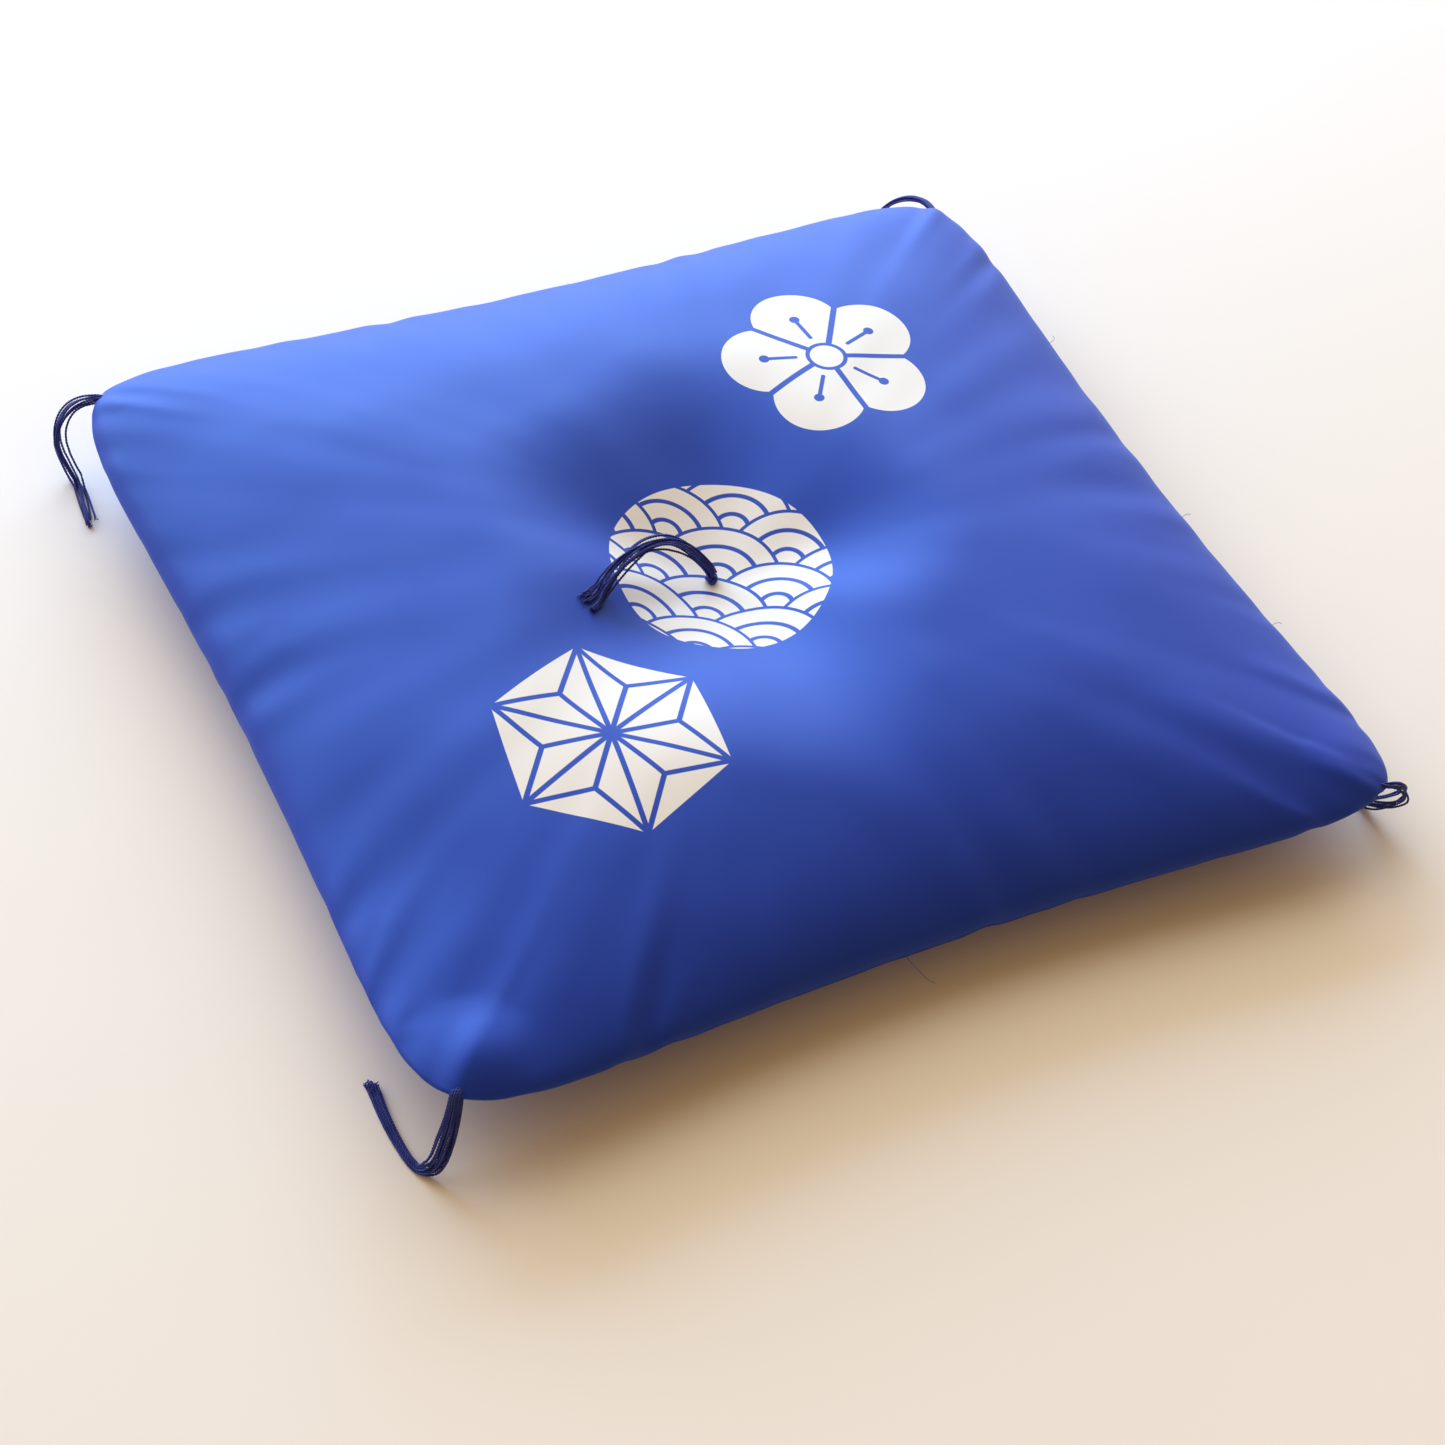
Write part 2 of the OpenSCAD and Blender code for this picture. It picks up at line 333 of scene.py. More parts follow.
def noise_field(tree, vector, scale, detail=2.0, roughness=0.5):
    """Smooth noise from 0 to 1."""
    node = add_node(
        tree, "ShaderNodeTexNoise", Vector=vector, Scale=scale, Detail=detail,
        Roughness=roughness)
    return Field(tree, node.outputs["Fac"])


def mixed(tree, share, first, second):
    """A colour between two, each a tuple or a socket."""
    node = tree.nodes.new("ShaderNodeMix")
    node.data_type = "RGBA"
    put(tree, node.inputs[0], share)
    put(tree, node.inputs[6], first)
    put(tree, node.inputs[7], second)
    return node.outputs[2]


def bumped(tree, shader, height, distance, strength=1.0):
    """Gives a shader the relief of a height field, in metres."""
    node = add_node(
        tree, "ShaderNodeBump", Strength=strength, Distance=distance, Height=height)
    tree.links.new(node.outputs["Normal"], shader.inputs["Normal"])


def lustre(shader, level, tint, sheen, sheen_tint):
    """A fabric's tinted gloss, and its soft glow at grazing angles."""
    shader.inputs["Specular IOR Level"].default_value = level
    shader.inputs["Specular Tint"].default_value = tint
    shader.inputs["Sheen Weight"].default_value = sheen
    shader.inputs["Sheen Roughness"].default_value = 0.4
    shader.inputs["Sheen Tint"].default_value = sheen_tint


# ---- materials

ROYAL_BLUE = (0.003, 0.018, 0.47, 1)
ROYAL_BLUE_DEEP = (0.002, 0.011, 0.38, 1)
PRINT_WHITE = (0.86, 0.84, 0.80, 1)
NAVY = (0.010, 0.013, 0.15, 1)
# The next colour is a paler navy, painted onto the tassel thread's raised fibres as highlight and
# mixed in at random.
NAVY_PALE_AND_HIGHLIGHT = (0.045, 0.07, 0.42, 1)
THREAD_BLUE = (0.02, 0.06, 0.38, 1)
COTTON = (0.82, 0.80, 0.74, 1)
# The next colour is a darker cotton, painted into the wadding's pits as shade.
COTTON_PAINTED_SHADE = (0.62, 0.59, 0.52, 1)
PRINT_WORN = (0.72, 0.71, 0.70, 1)
# The next colour is a paler blue, painted onto the sewing thread's raised fibres as highlight and
# mixed in at random.
THREAD_BLUE_PALE_AND_HIGHLIGHT = (0.05, 0.12, 0.55, 1)
FLOOR_CREAM, FLOOR_PALE = (0.81, 0.795, 0.78, 1), (0.84, 0.83, 0.82, 1)
YARN_PITCH = 0.42 * MM
MOTIF_R = 51 * MM
CUT = 1.5 * MM
CLOTH_MAP = "cloth"


def blossom(x, y):
    """Five round petals with cut lines between them, stamens and an eye."""
    across, up = folded(x, y, 5)
    lobe = 0.43 * MOTIF_R
    petal = -(long_side(across - (MOTIF_R - lobe), up) - lobe)
    between = off_line(across, up.size(), (0, 0), (
        MOTIF_R * math.cos(math.pi / 5), MOTIF_R * math.sin(math.pi / 5))) - CUT
    stamen = off_line(across, up, (0.3 * MOTIF_R, 0), (0.55 * MOTIF_R, 0)) - 0.7 * CUT
    bead = long_side(across - 0.6 * MOTIF_R, up) - 1.7 * CUT
    away = long_side(x, y)
    flower = petal.least(between).least(stamen).least(bead).least(away - 0.2 * MOTIF_R)
    return flower.most(-(away - 0.2 * MOTIF_R + 1.4 * CUT))


def ripple_disc(x, y):
    """A disc of overlapping wave scales, each with two rings cut into it."""
    scale_r = 0.56 * MOTIF_R
    row_h = scale_r / 2
    lowest = ((y - scale_r) / row_h).apply("CEIL")
    inside = None
    for step in (3, 2, 1, 0):
        row = lowest + float(step)
        shift = row.apply("FLOORED_MODULO", 2.0) * scale_r
        offset = (x - shift + scale_r).apply("FLOORED_MODULO", 2 * scale_r) - scale_r
        away = long_side(offset, y - row * row_h)
        rim = (away - 0.98 * scale_r).size() - 0.75 * CUT
        ring = (away - 0.62 * scale_r).size() - 0.75 * CUT
        core = (away - 0.27 * scale_r).size() - 0.75 * CUT
        value = rim.least(ring).least(core)
        covers = away.apply("LESS_THAN", scale_r)
        inside = value if inside is None else value * covers + inside * (covers * -1.0 + 1.0)
    return inside.least(-(long_side(x, y) - MOTIF_R))


def leaf_hexagon(x, y):
    """A six-sided tile of hemp leaves: thin cuts from its middle and its corners."""
    across, up = folded(x, y, 6)
    up = up.size()
    tile_r = 1.02 * MOTIF_R
    flat = tile_r * math.cos(math.pi / 6)
    corner = (flat, tile_r / 2)
    heart = (flat * 2 / 3, 0)
    inside = -(across - flat)
    for start, end in (((0, 0), corner), ((0, 0), heart), (heart, corner)):
        inside = inside.least(off_line(across, up, start, end) - 0.8 * CUT)
    return inside


MOTIFS = (
    (blossom, (0.099, 0.098), math.radians(20)),
    (ripple_disc, (-0.004, 0.003), math.radians(-38)),
    (leaf_hexagon, (-0.099, -0.079), math.radians(-8)),
)


def printed_share(tree, x, y):
    """How much of the fabric is printed at flat coordinates (x, y)."""
    total = None
    for motif, (mid_x, mid_y), angle in MOTIFS:
        share = ink(motif(*turned(x - mid_x, y - mid_y, angle)))
        total = share if total is None else total.most(share)
    return total


def cloth_coordinates(tree):
    """The flat fabric's coordinates in metres, as a vector and its two parts."""
    flat = tree.nodes.new("ShaderNodeUVMap")
    flat.uv_map = CLOTH_MAP
    split = add_node(tree, "ShaderNodeSeparateXYZ", Vector=flat.outputs["UV"])
    return flat.outputs["UV"], Field(tree, split.outputs["X"]), Field(tree, split.outputs["Y"])


def satin(name, printed):
    """Satin-look polyester: close warp floats, a fine grain, soft gloss and sheen."""
    material, tree, shader = new_material(name)
    flat, x, y = cloth_coordinates(tree)
    warp = (x * (TAU / YARN_PITCH)).sine()
    weft = (y * (TAU / YARN_PITCH)).sine()
    grain = noise_field(tree, flat, 1500.0, detail=3.0, roughness=0.6)
    slubs = noise_field(tree, flat, 55.0, detail=3.0)
    clouds = noise_field(tree, flat, 14.0, detail=2.0)
    shade = (grain * 0.55 + slubs * 0.25 + clouds * 0.4 - 0.1).least(1.0)
    colour = mixed(tree, shade, ROYAL_BLUE_DEEP, ROYAL_BLUE)
    relief = warp * 0.3 + weft * 0.18 + grain * 0.9
    gloss = grain * 0.1 + 0.53
    if printed:
        share = printed_share(tree, x, y)
        worn = noise_field(tree, flat, 700.0, detail=3.0)
        off_white = mixed(tree, worn * 0.35, PRINT_WHITE, PRINT_WORN)
        colour = mixed(tree, share * (worn * 0.06 + 0.95).least(1.0), colour, off_white)
        gloss = gloss + share * 0.16
        relief = relief + share * 0.5
    put(tree, shader.inputs["Base Color"], colour)
    put(tree, shader.inputs["Roughness"], gloss)
    lustre(shader, 0.88, (0.3, 0.7, 1, 1), 0.25, (0.3, 0.5, 1, 1))
    bumped(tree, shader, relief, 0.05 * MM, strength=0.55)
    return material


def spun_thread(name, dark, light, gloss):
    """Twisted thread: fibres along it, painted lighter as highlight where the fibres stand proud
    and darker as shade between them, and paler in slow random patches.
    """
    material, tree, shader = new_material(name)
    place = add_node(tree, "ShaderNodeTexCoord").outputs["Object"]
    fibre = noise_field(tree, place, 2600.0, detail=4.0, roughness=0.65)
    fade = noise_field(tree, place, 160.0, detail=2.0)
    # Painted highlight and shade: the fibre noise that makes the bump also lightens the colour
    # where the fibres stand up and darkens it between them; the slower fade noise pales it at
    # random.
    shade = (fibre * 0.6 + fade * 0.7 - 0.35).most(0.0).least(1.0)
    put(tree, shader.inputs["Base Color"], mixed(tree, shade, dark, light))
    put(tree, shader.inputs["Roughness"], fibre * 0.2 + 0.42)
    lustre(shader, gloss, (0.45, 0.55, 1, 1), 0.15, (0.3, 0.35, 1, 1))
    bumped(tree, shader, fibre, 0.12 * MM, strength=0.7)
    return material


def loose_cotton():
    """Off-white wadding: matted fibre, painted darker as shade in the low pits of its bump."""
    material, tree, shader = new_material("cotton_wadding")
    place = add_node(tree, "ShaderNodeTexCoord").outputs["Object"]
    tufts = noise_field(tree, place, 90.0, detail=6.0, roughness=0.7)
    fibre = noise_field(tree, place, 900.0, detail=5.0, roughness=0.75)
    # Painted shade: the same noises as the bump darken the colour where the bump runs low.
    shade = (tufts * 0.6 + fibre * 0.5 - 0.1).least(1.0)
    put(tree, shader.inputs["Base Color"], mixed(tree, shade, COTTON_PAINTED_SHADE, COTTON))
    shader.inputs["Roughness"].default_value = 0.95
    shader.inputs["Sheen Weight"].default_value = 0.4
    bumped(tree, shader, tufts + fibre * 0.4, 1.2 * MM, strength=0.8)
    return material


def pale_floor():
    """A plain cream studio floor with a trace of unevenness."""
    material, tree, shader = new_material("studio_floor")
    place = add_node(tree, "ShaderNodeTexCoord").outputs["Object"]
    cloud = noise_field(tree, place, 2.5, detail=2.0)
    colour = mixed(tree, cloud, FLOOR_CREAM, FLOOR_PALE)
    put(tree, shader.inputs["Base Color"], colour)
    shader.inputs["Roughness"].default_value = 0.6
    shader.inputs["Specular IOR Level"].default_value = 0.25
    bumped(tree, shader, noise_field(tree, place, 400.0), 0.05 * MM, strength=0.2)
    return material


# ---- tassels

# [x, y, share]: x and y from the corner's tip in millimetres, and the share of the way up
# from lying on the floor to the tip's own height. part.scad has the same routes.
CORNER_ROUTES = {
    "front_left": (
        (4, 3.5, 1), (0, 0, 1), (-1.5, -2, 0.86), (-3, -4, 0.7), (-4.5, -5.5, 0.54),
        (-6.5, -7, 0.37), (-9, -8.5, 0.21), (-12, -8.5, 0.08), (-15, -5.5, 0.02),
        (-17, 0, 0), (-18, 7, 0), (-18.5, 15, 0), (-18.5, 23, 0), (-18, 31, 0),
        (-17.5, 40, 0)),
    "front_right": (
        (-4, 3.5, 1), (0, 0, 1), (4.5, -1.5, 0.99), (8.5, -2, 0.92), (11.5, -2, 0.78),
        (13.5, -1.5, 0.61), (14, 0.5, 0.44), (13, 3, 0.28), (11, 6.5, 0.14), (9, 11, 0.04),
        (7.5, 17, 0), (6.5, 24, 0), (6, 31, 0), (5.5, 38, 0), (5, 45, 0)),
    "back_right": (
        (-4, -3.5, 1), (0, 0, 1), (1, 5.5, 0.98), (0.5, 11, 0.95), (-1.5, 16, 0.89),
        (-4.5, 20.5, 0.79), (-8.5, 23.5, 0.66), (-13, 24.5, 0.51), (-17, 24, 0.37),
        (-20.5, 22.5, 0.24), (-24, 20.5, 0.13), (-28.5, 18.5, 0.05), (-34, 17, 0),
        (-40.5, 16, 0), (-47, 15.5, 0)),
    "back_left": (
        (4, -3.5, 1), (0, 0, 1), (-5, 1, 1), (-10, 1.5, 0.97), (-15, 1, 0.88),
        (-19, -1, 0.73), (-21, -4, 0.56), (-21, -7.5, 0.39), (-19.5, -11, 0.23),
        (-18, -15, 0.1), (-17, -20, 0.02), (-17.5, -26, 0), (-18.5, -33, 0),
        (-19.5, -40, 0), (-20, -46, 0)),
}
# The centre tassel's points are [x, y, z] from the top of its knot.
CENTRE_ROUTE = (
    (0, 0, 0), (-2, 1.5, 4), (-5.5, 3.5, 8.5), (-9.5, 5.5, 13), (-14.5, 7.5, 17),
    (-20, 9, 19.5), (-26, 9.5, 20.5), (-32, 9, 20.5), (-38, 7.5, 19.5), (-44, 5.5, 18),
    (-50, 2.5, 16), (-55, -0.5, 14), (-60, -3.5, 12.5), (-64, -6, 11.5), (-68, -8, 11))
ACROSS = {
    "front_left": (1, -0.3, 0),
    "front_right": (0.8, 0.6, 0),
    "back_right": (1, 0.3, 0),
    "back_left": (0.6, 0.8, 0),
    "centre": (0.1, 1, 0),
}
STRAND_R = 0.58 * MM
STRAND_PITCH = 2.7 * MM
STRAND_LIFT = 1.3 * STRAND_R
LOWEST_THREAD = 0.03 * MM
# Where the path runs this low, the strands are pressed most of the way down to the ground.
FLATTEN_BELOW, FLATTEN_OVER, PRESSED = 3.2 * MM, 1.5 * MM, 0.8
PATH_STEP = 0.5 * MM


def bundle(strands, neck, body, tip, thick, wander, seed):
    """A bundle's strands, its half width at neck, body and tip, its half thickness, and how far
    a strand wanders from its own place. Sizes are given in millimetres and kept in metres."""
    return dict(
        strands=strands, neck=neck * MM, body=body * MM, tip=tip * MM, thick=thick * MM,
        wander=wander * MM, seed=seed)


BUNDLES = {
    "front_left": bundle(16, 2.3, 3.5, 4.7, 1.2, 0.8, seed=11),
    "front_right": bundle(9, 1.6, 2.0, 3.6, 1.4, 2.4, seed=23),
    "back_right": bundle(10, 1.6, 1.9, 3.8, 0.6, 0.9, seed=37),
    "back_left": bundle(8, 1.9, 4.4, 4.6, 2.2, 2.9, seed=41),
    "centre": bundle(16, 1.7, 3.4, 4.4, 2.2, 1.9, seed=59),
}
# No strand strays further from the path than REACH, and the shortest lacks this share of it.
REACH = 4.7 * MM
SHORTEST = 0.07


def corner_route(corner):
    """A corner tassel's route in the frame, starting at the face of its knot."""
    tip = corner_tip(corner)
    knot = middle("corner_knot_" + corner)
    rise = tip.z - LYING
    shown = [
        (tip.x + x * MM, tip.y + y * MM, LYING + rise * share)
        for x, y, share in CORNER_ROUTES[corner]]
    return [tuple(knot)] + shown


def centre_route():
    """The centre tassel's route in the frame."""
    return [(TIE.x + x * MM, TIE.y + y * MM, CENTRE_KNOT_TOP + z * MM) for x, y, z in CENTRE_ROUTE]


def wave(share, rng):
    """A slow, irregular swing from about -1 to 1 along a strand."""
    total = 0
    for pace, size in ((rng.uniform(0.5, 1.0), 0.7), (rng.uniform(1.2, 2.1), 0.35)):
        total = total + size * np.sin(TAU * (pace * share + rng.uniform(0, 1)))
    return total


def strand_offsets(share, bundle, rng, place, place_at_tip):
    """A strand's distance across and out of the bundle's path, at each share of its length."""
    half_width = np.interp(
        share, (0, 0.12, 0.35, 0.78, 1),
        (bundle["neck"], bundle["neck"], bundle["body"], bundle["body"], bundle["tip"]))
    order = place + (place_at_tip - place) * share ** 1.5
    free = np.clip((share - 0.14) / 0.2, 0, 1)
    across = half_width * order + free * bundle["wander"] * wave(share, rng)
    layer = rng.uniform(-1, 1)
    out = bundle["thick"] * layer + free * 0.6 * bundle["wander"] * wave(share, rng)
    length = np.hypot(across, out)
    fit = np.minimum(1, REACH / np.maximum(length, 1e-9))
    return across * fit, out * fit


def strand_paths(path, across, bundle, ground):
    """The line of each strand of a bundle: above the ground, and pressed to it where it lies."""
    rng = np.random.default_rng(bundle["seed"])
    _, side, out = frames_along(path, across)
    count = bundle["strands"]
    places = (np.arange(count) + 0.5) / count * 2 - 1
    tips = np.clip(places + rng.uniform(-0.7, 0.7, count), -1, 1)
    missing = rng.uniform(0, 1, count) ** 2
    missing = SHORTEST * (missing - missing.min())
    lines = []
    for place, tip, lost in zip(places, tips, missing):
        cut = int(len(path) * (1 - lost))
        share = np.linspace(0, 1, len(path))[:cut]
        wide, thick = strand_offsets(share, bundle, rng, place, tip)
        line = path[:cut] + side[:cut] * wide[:, None] + out[:cut] * thick[:, None]
        floor = np.array([ground(point) for point in line]) + STRAND_LIFT
        lying = np.clip((FLATTEN_BELOW - path[:cut, 2] + floor) / FLATTEN_OVER, 0, 1)
        line[:, 2] -= PRESSED * lying * np.maximum(line[:, 2] - floor, 0)
        line[:, 2] = np.where(share > 0.17, np.maximum(line[:, 2], floor), line[:, 2])
        lines.append(line)
    return lines


def make_tassel(name, node, route, across, bundle, ground, material):
    """A bundle of twisted strands with frayed ends, as one piece."""
    path = smooth_path(route, PATH_STEP)
    strands = Strands()
    rng = np.random.default_rng(bundle["seed"] + 1)
    for line in strand_paths(path, across, bundle, ground):
        strands.twisted(line, STRAND_R, STRAND_PITCH, rng.uniform(0, TAU), fray=5 * MM)
    for thread in strands.points:
        thread[:, 2] = np.maximum(thread[:, 2], LOWEST_THREAD)
    tassel = strands.piece(name, material, "tassel_thread")
    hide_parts(node)
    return tassel


def make_tassels(top_panel, material):
    """The five tassels: the corner ones lie on the floor, the centre one on the cover."""
    for corner in CORNERS:
        make_tassel(
            "thread_tassel_" + corner, "tassel_" + corner, corner_route(corner), ACROSS[corner],
            BUNDLES[corner], lambda point: 0.0, material)
    hit = BVHTree.FromObject(top_panel, bpy.context.evaluated_depsgraph_get())

    def cover_height(point):
        found = hit.ray_cast(Vector((point[0], point[1], 0.2)), Vector((0, 0, -1)))[0]
        return found.z if found else 0.0

    make_tassel(
        "thread_tassel_centre", "centre_tassel", centre_route(), ACROSS["centre"],
        BUNDLES["centre"], cover_height, material)


# ---- knots and tie

KNOT_TURNS = 96


def make_knot(name, node, material):
    """A thread drawn up into a small three-lobed knot that fills the CAD knot's box."""
    low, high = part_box(node)
    size = high - low
    thread_r = 0.95 * MM
    t = np.linspace(0, TAU, KNOT_TURNS, endpoint=False)
    shape = np.stack([
        np.sin(t) + 2 * np.sin(2 * t), np.cos(t) - 2 * np.cos(2 * t), -np.sin(3 * t)], axis=1)
    reach = np.abs(shape).max(axis=0)
    room = np.array([size.x, size.y, size.z]) / 2 - thread_r
    path = shape / reach * room + np.array((low + high) / 2)
    strands = Strands()
    strands.tube(path, thread_r, sides=10, closed=True)
    knot = strands.piece(name, material, "tassel_thread")
    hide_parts(node)


def make_tie(material):
    """Four strands twisted into the tie between the two centre knots."""
    low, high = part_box("centre_tie")
    overlap = 0.6 * MM
    heights = np.linspace(low.z - overlap, high.z + overlap, 60)
    strands = Strands()
    for k in range(4):
        angle = heights / (7 * MM) * TAU + k * TAU / 4
        path = np.stack([
            TIE.x + 0.75 * MM * np.cos(angle), TIE.y + 0.75 * MM * np.sin(angle), heights], axis=1)
        strands.tube(path, 0.62 * MM, sides=8)
    tie = strands.piece("twisted_centre_tie", material, "tassel_thread")
    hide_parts("centre_tie")


# ---- cushion: cut and start shape

CELLS_X, CELLS_Y = 108, 98
EDGE_CROWDING = 0.25
CORNER_POWER = 8.5
SIDE_BOW, FRONT_BOW, BACK_BOW = 12 * MM, 18 * MM, 8 * MM
SEAM_HEIGHT = 25 * MM
CORNER_RISES = ((12 * MM, 8 * MM), (7 * MM, 9 * MM))
CROWN = 60 * MM
CROWN_POWER, CROWN_ROUND = 3.0, 0.5
FRONT_CROWN_POWER, FRONT_CROWN_ROUND = 3.0, 0.66
CROWN_SOFT = 0.5
FLAT_SHARE, HEM_POWER = 0.68, 2.2
TOP_DIMPLE, TOP_DIMPLE_R = 25 * MM, 125 * MM
UNDER_DIMPLE, UNDER_DIMPLE_R = 12 * MM, 70 * MM
CLEAR = 0.6 * MM
KNOT_COVER, KNOT_SIDE, KNOT_REACH = 1.6 * MM, 5 * MM, 32 * MM
# Lumps: the uneven wadding under the top, at two sizes.
LUMP_WAVE, SMALL_LUMP_WAVE, SMALL_LUMP_SHARE = 74 * MM, 33 * MM, 0.22
LUMP_HEIGHT = 1.7 * MM
# Creases: soft folds in the top that run from the edges towards the tie.
CREASE_WAVE, CREASE_RUN, CREASE_HEIGHT = 34 * MM, 88 * MM, 1.5 * MM


def crowded(count):
    """Grid lines from -1 to 1 that lie closer together towards both ends."""
    t = np.linspace(-1, 1, count + 1)
    return t + EDGE_CROWDING * np.sin(math.pi * t) / math.pi


def noise_grid(x, y, wavelength, seed):
    """Smooth noise from about -1 to 1 over a grid of places."""
    values = [
        noise.noise(Vector((a / wavelength, b / wavelength, seed)))
        for a, b in zip(x.ravel(), y.ravel())]
    return np.array(values).reshape(x.shape)


class Grid:
    """The cushion's outline as a grid: its plan, its share of the way out, its rim length."""

    def __init__(self):
        self.u, self.v = np.meshgrid(crowded(CELLS_X), crowded(CELLS_Y))
        self.out = np.maximum(np.abs(self.u), np.abs(self.v))
        away = np.where(self.out < 1e-6, 1, self.out)
        self.rim_u, self.rim_v = self.u / away, self.v / away
        rim_x, rim_y = self.rim_place()
        mix = self.out ** 4
        self.x = self.u * WIDTH / 2 * 0.985 * (1 - mix) + rim_x * self.out * mix
        self.y = self.v * DEPTH / 2 * 0.985 * (1 - mix) + rim_y * self.out * mix
        self.round = self.rim_length()
        self.tie_distance = np.hypot(self.x - TIE.x, self.y - TIE.y)

    @staticmethod
    def bowed(u, v):
        """A point of the unit square's rim on a rounded square whose edges pull in."""
        power = (np.abs(u) ** CORNER_POWER + np.abs(v) ** CORNER_POWER + 1e-12)
        share = power ** (-1 / CORNER_POWER)
        end = np.where(v < 0, FRONT_BOW, BACK_BOW) / (DEPTH / 2)
        x = share * u * (1 - SIDE_BOW / (WIDTH / 2) * (1 - v ** 2))
        y = share * v * (1 - end * (1 - u ** 2))
        return x, y

    def rim_place(self):
        """Where the ray through each grid point meets the seam."""
        t = np.linspace(-1, 1, 401)
        ones = np.ones_like(t)
        reach_x = self.bowed(ones, t)[0].max()
        reach_back = self.bowed(t, ones)[1].max()
        reach_front = self.bowed(t, -ones)[1].min()
        x, y = self.bowed(self.rim_u, self.rim_v)
        height = reach_back - reach_front
        return (
            x / reach_x * WIDTH / 2, (y - (reach_back + reach_front) / 2) / height * DEPTH)

    def rim_length(self):
        """The distance round the rim, anticlockwise from the middle of the right edge."""
        a, b = WIDTH / 2, DEPTH / 2
        u, v = self.rim_u, self.rim_v
        side = np.where(u > 0, v * b, 2 * (a + b) - v * b)
        end = np.where(v > 0, b + (1 - u) * a, 3 * (a + b) + u * a)
        return np.where(np.abs(u) >= np.abs(v), side, end)

    def seam_height(self):
        """The seam's height: lowest halfway along an edge, and higher at the corners."""
        front = np.where(self.u < 0, CORNER_RISES[0][0], CORNER_RISES[1][0])
        back = np.where(self.u < 0, CORNER_RISES[0][1], CORNER_RISES[1][1])
        rise = np.where(self.v < 0, front, back)
        return SEAM_HEIGHT + rise * (self.u * self.v) ** 2

    def dimple(self, depth, radius):
        """How far the tie pulls a skin in."""
        angle = np.arctan2(self.y - TIE.y, self.x - TIE.x)
        reach = radius * (1 + 0.13 * np.cos(2 * angle - 2.2) + 0.09 * np.cos(5 * angle + 0.8))
        inside = np.clip(self.tie_distance / reach, 0, 1)
        return depth * (1 - inside ** 1.7) ** 2.2

    def top_heights(self):
        """The upper skin over the wadding."""
        power_v = np.where(self.v < 0, FRONT_CROWN_POWER, CROWN_POWER)
        across, along = np.abs(self.u) ** CROWN_POWER, np.abs(self.v) ** power_v
        domed = (1 - across) * (1 - along)
        plain = 1 - np.maximum(across, along)
        forward = np.clip(-self.v / 0.8, 0, 1)
        forward = forward * forward * (3 - 2 * forward)
        roundness = CROWN_ROUND + (FRONT_CROWN_ROUND - CROWN_ROUND) * forward
        profile = np.clip(CROWN_SOFT * domed + (1 - CROWN_SOFT) * plain, 0, 1) ** roundness
        seam = self.seam_height()
        lumps = noise_grid(self.x, self.y, LUMP_WAVE, 3.7)
        lumps = lumps + SMALL_LUMP_SHARE * noise_grid(self.x, self.y, SMALL_LUMP_WAVE, 8.1)
        lumps = lumps * LUMP_HEIGHT * (1 - self.out ** 8)
        creases = noise_grid(self.round, self.out * CREASE_RUN, CREASE_WAVE, 6.6)
        lumps = lumps + CREASE_HEIGHT * creases * self.out ** 2.2 * (1 - self.out ** 14)
        heights = seam + (CROWN - seam) * profile - self.dimple(TOP_DIMPLE, TOP_DIMPLE_R) + lumps
        return self.over_knots(heights)

    def over_knots(self, heights):
        """Lifts the upper skin where a corner knot would come through it."""
        inner = 1 - self.out ** 20
        for corner in CORNERS:
            knot_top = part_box("corner_knot_" + corner)[1].z
            knot = middle("corner_knot_" + corner)
            near = np.hypot(self.x - knot.x, self.y - knot.y)
            reach = np.clip(1 - near / KNOT_REACH, 0, 1)
            share = reach * reach * (3 - 2 * reach) * inner
            over = near < KNOT_SIDE
            short = (knot_top + KNOT_COVER - heights[over]) / share[over]
            heights = heights + max(0, short.max()) * share
        return heights

    def under_heights(self):
        """The lower skin, flat on the floor but for its rising edges and its dimple."""
        rest = 1.0
        for axis in (self.u, self.v):
            share = np.clip((np.abs(axis) - FLAT_SHARE) / (1 - FLAT_SHARE), 0, 1)
            rest = rest * (1 - share ** HEM_POWER)
        seam = self.seam_height()
        rise = seam * (1 - np.clip(rest, 0, 1))
        return rise + self.dimple(UNDER_DIMPLE, UNDER_DIMPLE_R) + CLEAR


# Gathers: the cut is a little longer than the seam, so it ripples beside the stitching.
GATHER_WAVE = 23 * MM
GATHER_HEIGHT = 0.9 * MM
FOLD_WAVE = 41 * MM
FOLD_HEIGHT = 3.2 * MM
GATHER_START = 0.4


def gathers(grid):
    """The height of the ripples that the gathered cut makes, over the whole grid."""
    wander = noise_grid(grid.round, grid.round * 0, 55 * MM, 1.3)
    swell = 0.62 + 0.38 * np.sin(grid.round / (170 * MM) * TAU + 1.0)
    swell = swell * (0.75 + 0.5 * noise_grid(grid.round, grid.round * 0, 33 * MM, 5.9))
    short = np.sin(TAU * grid.round / GATHER_WAVE + 2.6 * wander) * grid.out ** 24
    long = np.sin(TAU * grid.round / FOLD_WAVE + 3.4 * wander + 0.7) * grid.out ** 7
    return swell * (GATHER_HEIGHT * short + FOLD_HEIGHT * 0.5 * long * (1 - 0.5 * grid.out ** 20))


# ---- cushion: simulation

SIM_FRAMES = 14
SIM_CAP = 6 * MM
HOLD = dict(top=0.28, seam=0.6, under=0.5)


def weld_panels(top, under):
    """Both skins as one point list that share the rim, with the grids of point numbers."""
    top_ids = np.arange(top.shape[0] * top.shape[1]).reshape(top.shape[:2])
    inner = np.zeros(top.shape[:2], bool)
    inner[1:-1, 1:-1] = True
    under_ids = top_ids.copy()
    under_ids[inner] = top_ids.size + np.arange(inner.sum())
    return np.concatenate([top.reshape(-1, 3), under[inner]]), top_ids, under_ids


